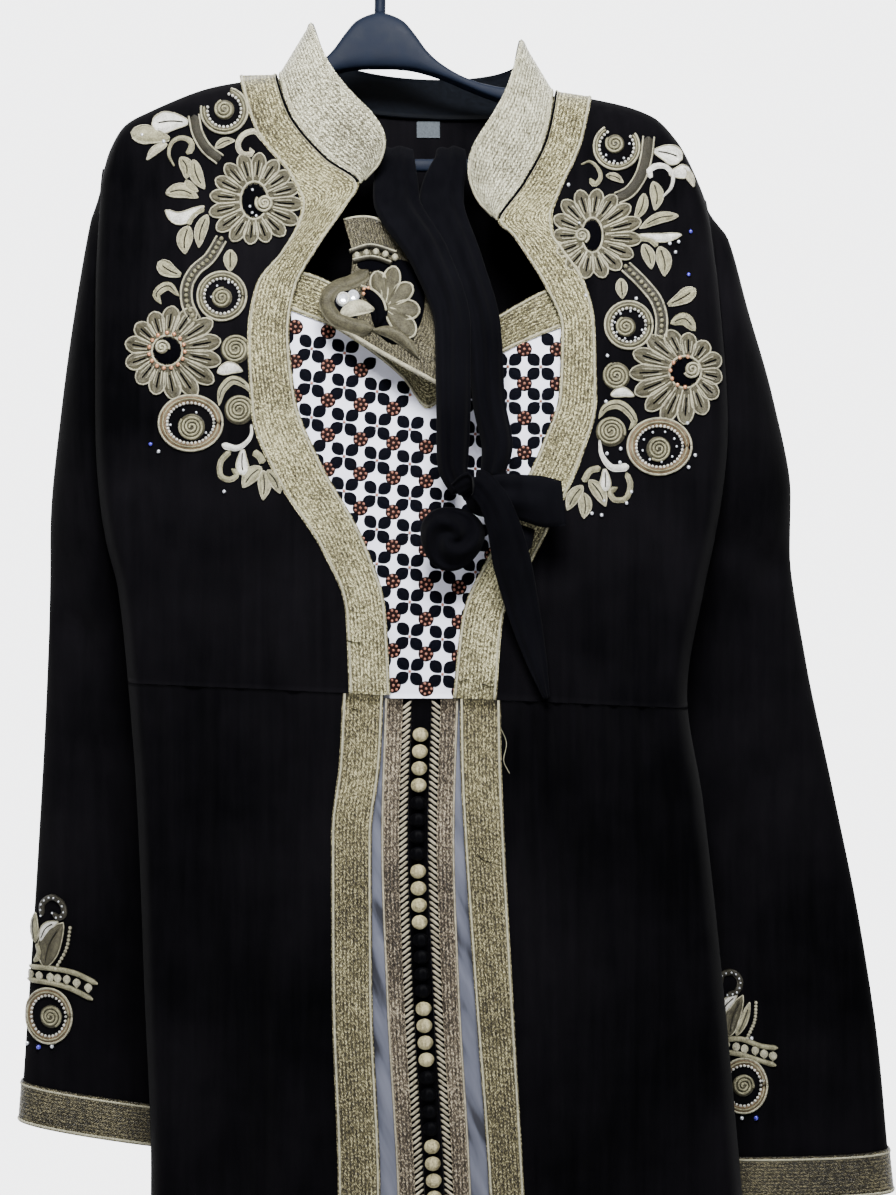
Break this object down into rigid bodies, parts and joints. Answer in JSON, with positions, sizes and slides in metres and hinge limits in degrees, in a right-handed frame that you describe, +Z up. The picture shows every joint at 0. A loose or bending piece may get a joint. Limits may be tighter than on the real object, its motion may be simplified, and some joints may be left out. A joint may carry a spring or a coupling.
{
  "type": "kaftan on a hanger",
  "caption": "Long black open-front kaftan with gold braid trims, raised embroidery, ball buttons and an own tie belt, hanging on a plastic hanger.",
  "frame": {"origin": "inner top of the hanger's hook, where it bears on its rail", "axes": "+Z up along the hanging garment, +X to the viewer's right of a viewer who faces its front, -Y out of the front"},
  "size_m": [0.5684, 0.1456, 1.5251],
  "materials": {
    "crepe": "matte black crepe",
    "gold_braid": "woven metallic champagne braid",
    "printed_cloth": "matte white cloth with black petals and coral beads",
    "satin": "grey-lavender satin",
    "herringbone_braid": "metallic herringbone braid",
    "gold_buttons": "thread-covered balls",
    "black_buttons": "thread-covered balls",
    "metal_thread": "raised metallic embroidery",
    "sash_cloth": "matte black cloth",
    "belt_embroidery": "metallic embroidery with a gold border",
    "hanger_plastic": "satin dark blue",
    "label_cloth": "blank grey-white woven label"
  },
  "bodies": {
    "root": {"back_bodice": "crepe", "back_skirt": "crepe", "front_bodice_left": "crepe", "front_bodice_right": "crepe", "front_skirt_left": "crepe", "front_skirt_right": "crepe", "sleeve_left": "crepe", "sleeve_right": "crepe", "collar": "crepe", "placket_strip": "crepe", "band_bodice_left": "gold_braid", "band_bodice_right": "gold_braid", "band_skirt_left": "gold_braid", "band_skirt_right": "gold_braid", "cuff_braid_left": "gold_braid", "cuff_braid_right": "gold_braid", "collar_braid": "gold_braid", "bust_braid": "gold_braid", "bust_panel": "printed_cloth", "underskirt_front": "satin", "placket_braid_left": "herringbone_braid", "placket_braid_right": "herringbone_braid", "buttons_gold_1": "gold_buttons", "buttons_gold_2": "gold_buttons", "buttons_gold_3": "gold_buttons", "buttons_gold_4": "gold_buttons", "buttons_gold_5": "gold_buttons", "buttons_gold_6": "gold_buttons", "buttons_gold_7": "gold_buttons", "buttons_gold_8": "gold_buttons", "buttons_gold_9": "gold_buttons", "buttons_gold_10": "gold_buttons", "buttons_gold_11": "gold_buttons", "buttons_black_1": "black_buttons", "buttons_black_2": "black_buttons", "buttons_black_3": "black_buttons", "buttons_black_4": "black_buttons", "buttons_black_5": "black_buttons", "buttons_black_6": "black_buttons", "buttons_black_7": "black_buttons", "buttons_black_8": "black_buttons", "buttons_black_9": "black_buttons", "buttons_black_10": "black_buttons", "embroidery_chest_left": "metal_thread", "embroidery_chest_right": "metal_thread", "embroidery_sleeve_left": "metal_thread", "embroidery_sleeve_right": "metal_thread", "belt_tie_left": "sash_cloth", "belt_tie_right": "sash_cloth", "belt_knot": "sash_cloth", "belt_rosette": "sash_cloth", "belt_loop": "sash_cloth", "belt_tail": "sash_cloth", "belt_front": "belt_embroidery", "hanger_arms": "hanger_plastic", "hanger_hook": "hanger_plastic", "hanger_bar": "hanger_plastic", "label": "label_cloth"}
  },
  "joints": []
}
